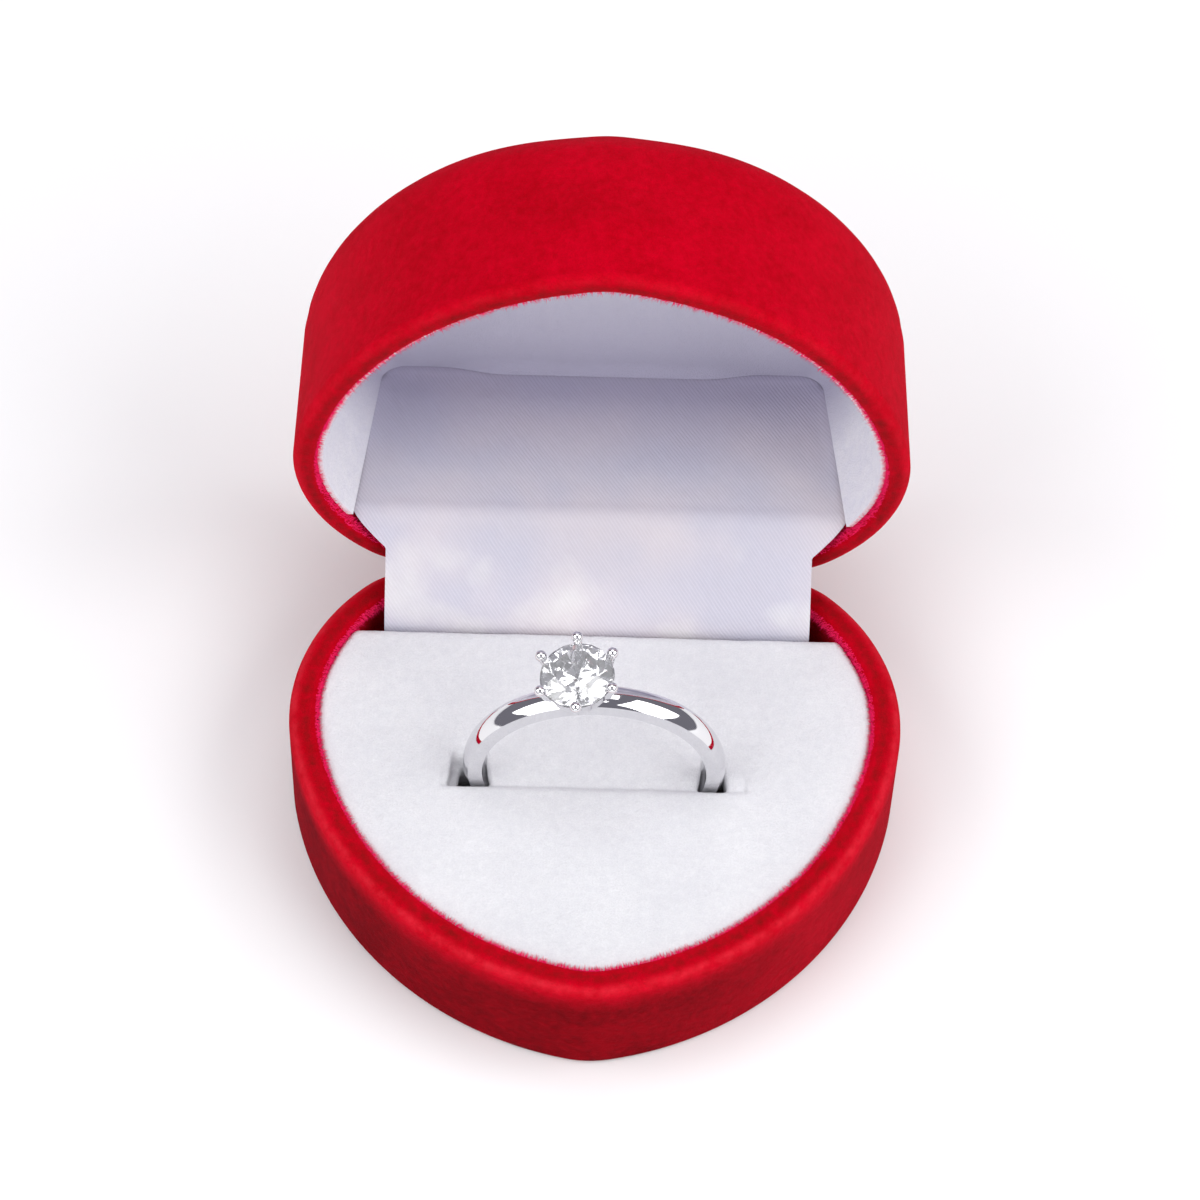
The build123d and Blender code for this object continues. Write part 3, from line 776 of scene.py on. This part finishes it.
def finish_pad(pad):
    """Drop the hidden underside and give the pad's skin faint hollows and humps."""
    mesh = bmesh.new()
    mesh.from_mesh(pad.data)
    hidden = [face for face in mesh.faces if face.calc_center_median().z < PAD_SKIN_BOTTOM * MM]
    bmesh.ops.delete(mesh, geom=hidden, context="FACES")
    for point in mesh.verts:
        spot = point.co / MM
        push = field.noise(spot * 0.35) * 0.06 + field.noise(spot * 2.5) * 0.02
        point.co += point.normal * push * MM
    mesh.to_mesh(pad.data)
    mesh.free()
    pad.data.polygons.foreach_set("use_smooth", [True] * len(pad.data.polygons))


ring_pad = dress(pad_mesh(), white_flock)
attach(ring_pad, "base")
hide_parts("ring_pad_cover")


# satin ----------------------------------------------------------------------------------------------
def satin_route():
    """The sheet's side view, from the lid's ceiling over the card's edge and down behind the pad."""
    top = SATIN_SETBACK + 0.02
    # (y, z) from the hinge pin
    knots = [
        (15.6, top + 0.22), (15.1, top + 0.16), (14.4, top), (12.0, top), (8.0, top), (4.5, top),
        (2.9, top + 0.02), (1.5, top - 0.03), (0.4, top - 0.85),
        (-1.0, 3.65), (-2.9, 1.75), (-4.55, 0.15), (-5.2, -1.2), (-5.27, -3.0), (-5.27, -4.9),
    ]
    curve = bpy.data.curves.new("route", "CURVE")
    curve.dimensions = "3D"
    line = curve.splines.new("BEZIER")
    line.bezier_points.add(len(knots) - 1)
    for point, (y, z) in zip(line.bezier_points, knots):
        point.co = (0.0, HINGE_Y + y, HINGE_Z + z)
        point.handle_left_type = point.handle_right_type = "AUTO"
    curve.resolution_u = 12
    holder = bpy.data.objects.new("route", curve)
    drawn = bpy.data.meshes.new_from_object(holder)
    route = np.array([point.co[:] for point in drawn.vertices])[:, 1:]
    bpy.data.objects.remove(holder)
    return route


def satin_half_width(into_lid):
    """Wide over the card, pulled in over a short way at the card's edge."""
    if into_lid > SATIN_FOLD:
        return SATIN_CARD_HALF_WIDTH - 0.03 * (into_lid - SATIN_FOLD)
    ease = min(1.0, (SATIN_FOLD - into_lid) / 2.2)
    return SATIN_CARD_HALF_WIDTH + (SATIN_NARROW_HALF_WIDTH - SATIN_CARD_HALF_WIDTH) * ease ** 1.3


def satin_sheet():
    """One sheet over the card and down behind the pad, with its length, full width and area."""
    route = satin_route()
    run = np.concatenate([[0.0], np.cumsum(np.hypot(*np.diff(route, axis=0).T))])
    points = []
    weave = []
    half_widths = []
    for (y, z), along in zip(route, run):
        into_lid = y - HINGE_Y
        half = satin_half_width(into_lid)
        half_widths.append(half)
        loose = max(0.0, 1 - abs(into_lid + 2.4) / 3.4)
        liner_edge = 19.2 - 0.105 * into_lid
        under_liner = smooth_step((into_lid - 5.0) / 4.0)
        under_liner *= smooth_step((14.8 - into_lid) / 1.0)
        for column in range(SATIN_COLUMNS + 1):
            x = (column / SATIN_COLUMNS * 2 - 1) * half
            bow = field.noise(Vector((x * 0.12, along * 0.25, 3.0))) * 0.16
            bow += field.noise(Vector((x * 0.8, along * 0.2, 9.0))) * 0.03
            tucked = smooth_step((abs(x) - liner_edge + 0.7) / 0.7) * under_liner
            points.append((x, y - bow * loose, z + bow * 0.6 * loose + 0.2 * tucked))
            weave.append((x * MM, along * MM))
    row_size = SATIN_COLUMNS + 1
    faces = []
    for row in range(len(route) - 1):
        for column in range(SATIN_COLUMNS):
            first = row * row_size + column
            faces.append((first, first + 1, first + row_size + 1, first + row_size))
    obj = mesh_object("satin_sheet", points, faces)
    layer = obj.data.uv_layers.new(name="weave")
    for loop in obj.data.loops:
        layer.data[loop.index].uv = weave[loop.vertex_index]
    halves = np.array(half_widths)
    area = float(np.sum(np.diff(run) * (halves[1:] + halves[:-1])))
    return obj, float(run[-1]), 2 * float(halves.max()), area


satin_cloth, satin_length, satin_width, satin_area = satin_sheet()
dress(satin_cloth, satin)
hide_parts("satin_lining")
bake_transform(satin_cloth)


# camera, light and floor ----------------------------------------------------------------------------
def place_camera(elevation_deg, yaw_deg, roll_deg, aim, distance, lens):
    """A camera that looks at a point from a direction, turned about its own axis."""
    elevation = math.radians(elevation_deg)
    yaw = math.radians(yaw_deg)
    roll = math.radians(roll_deg)
    level = math.cos(elevation)
    back = Vector((math.sin(yaw) * level, -math.cos(yaw) * level, math.sin(elevation)))
    right = Vector((0, 0, 1)).cross(back).normalized()
    up = back.cross(right)
    turned_right = right * math.cos(roll) + up * math.sin(roll)
    turned_up = up * math.cos(roll) - right * math.sin(roll)
    data = bpy.data.cameras.new("camera")
    data.sensor_width = 36.0
    data.lens = lens
    data.clip_start = 0.01
    data.clip_end = 10.0
    camera = bpy.data.objects.new("camera", data)
    pose = Matrix((turned_right, turned_up, back)).transposed().to_4x4()
    pose.translation = aim + back * distance
    camera.matrix_world = pose
    bpy.context.scene.collection.objects.link(camera)
    bpy.context.scene.camera = camera


def area_light(name, place, target, size, power):
    """A soft rectangular light that faces a point."""
    data = bpy.data.lights.new(name, "AREA")
    data.shape = "RECTANGLE"
    data.size, data.size_y = size
    data.energy = power
    lamp = bpy.data.objects.new(name, data)
    lamp.location = place
    lamp.rotation_mode = "QUATERNION"
    lamp.rotation_quaternion = (Vector(target) - Vector(place)).to_track_quat("-Z", "Y")
    bpy.context.scene.collection.objects.link(lamp)


place_camera(
    elevation_deg=56.5, yaw_deg=-0.78, roll_deg=2.09,
    aim=Vector((0.196, 16.555, 11.15)) * MM, distance=0.42, lens=158.59,
)
middle_of_box = (0, 0.01, 0.02)
area_light("left_softbox", (-0.40, -0.17, 0.40), middle_of_box, (0.60, 0.45), 2.2)
area_light("right_softbox", (0.42, -0.13, 0.40), middle_of_box, (0.60, 0.45), 2.7)
area_light("front_fill", (0.0, -0.55, 0.16), (0, 0.02, 0.02), (0.50, 0.20), 0.7)
area_light("overhead", (0.0, 0.16, 0.60), middle_of_box, (0.40, 0.30), 1.0)

world = bpy.data.worlds.new("studio")
bpy.context.scene.world = world
world.use_nodes = True
world.node_tree.nodes["Background"].inputs["Color"].default_value = (0.87, 0.85, 1.0, 1.0)
world.node_tree.nodes["Background"].inputs["Strength"].default_value = 0.22

floor_paint = Paint("floor_paint")
floor_paint.colour((0.93, 0.93, 0.93))
floor_paint.set(Roughness=0.9, Specular_IOR_Level=0.1)
floor_corners = [(-1500, -1500, -0.05), (1500, -1500, -0.05), (1500, 1500, -0.05), (-1500, 1500, -0.05)]
floor = mesh_object("floor", floor_corners, [(0, 1, 2, 3)])
floor.data.materials.append(floor_paint.material)

bpy.context.scene.view_settings.view_transform = "Standard"
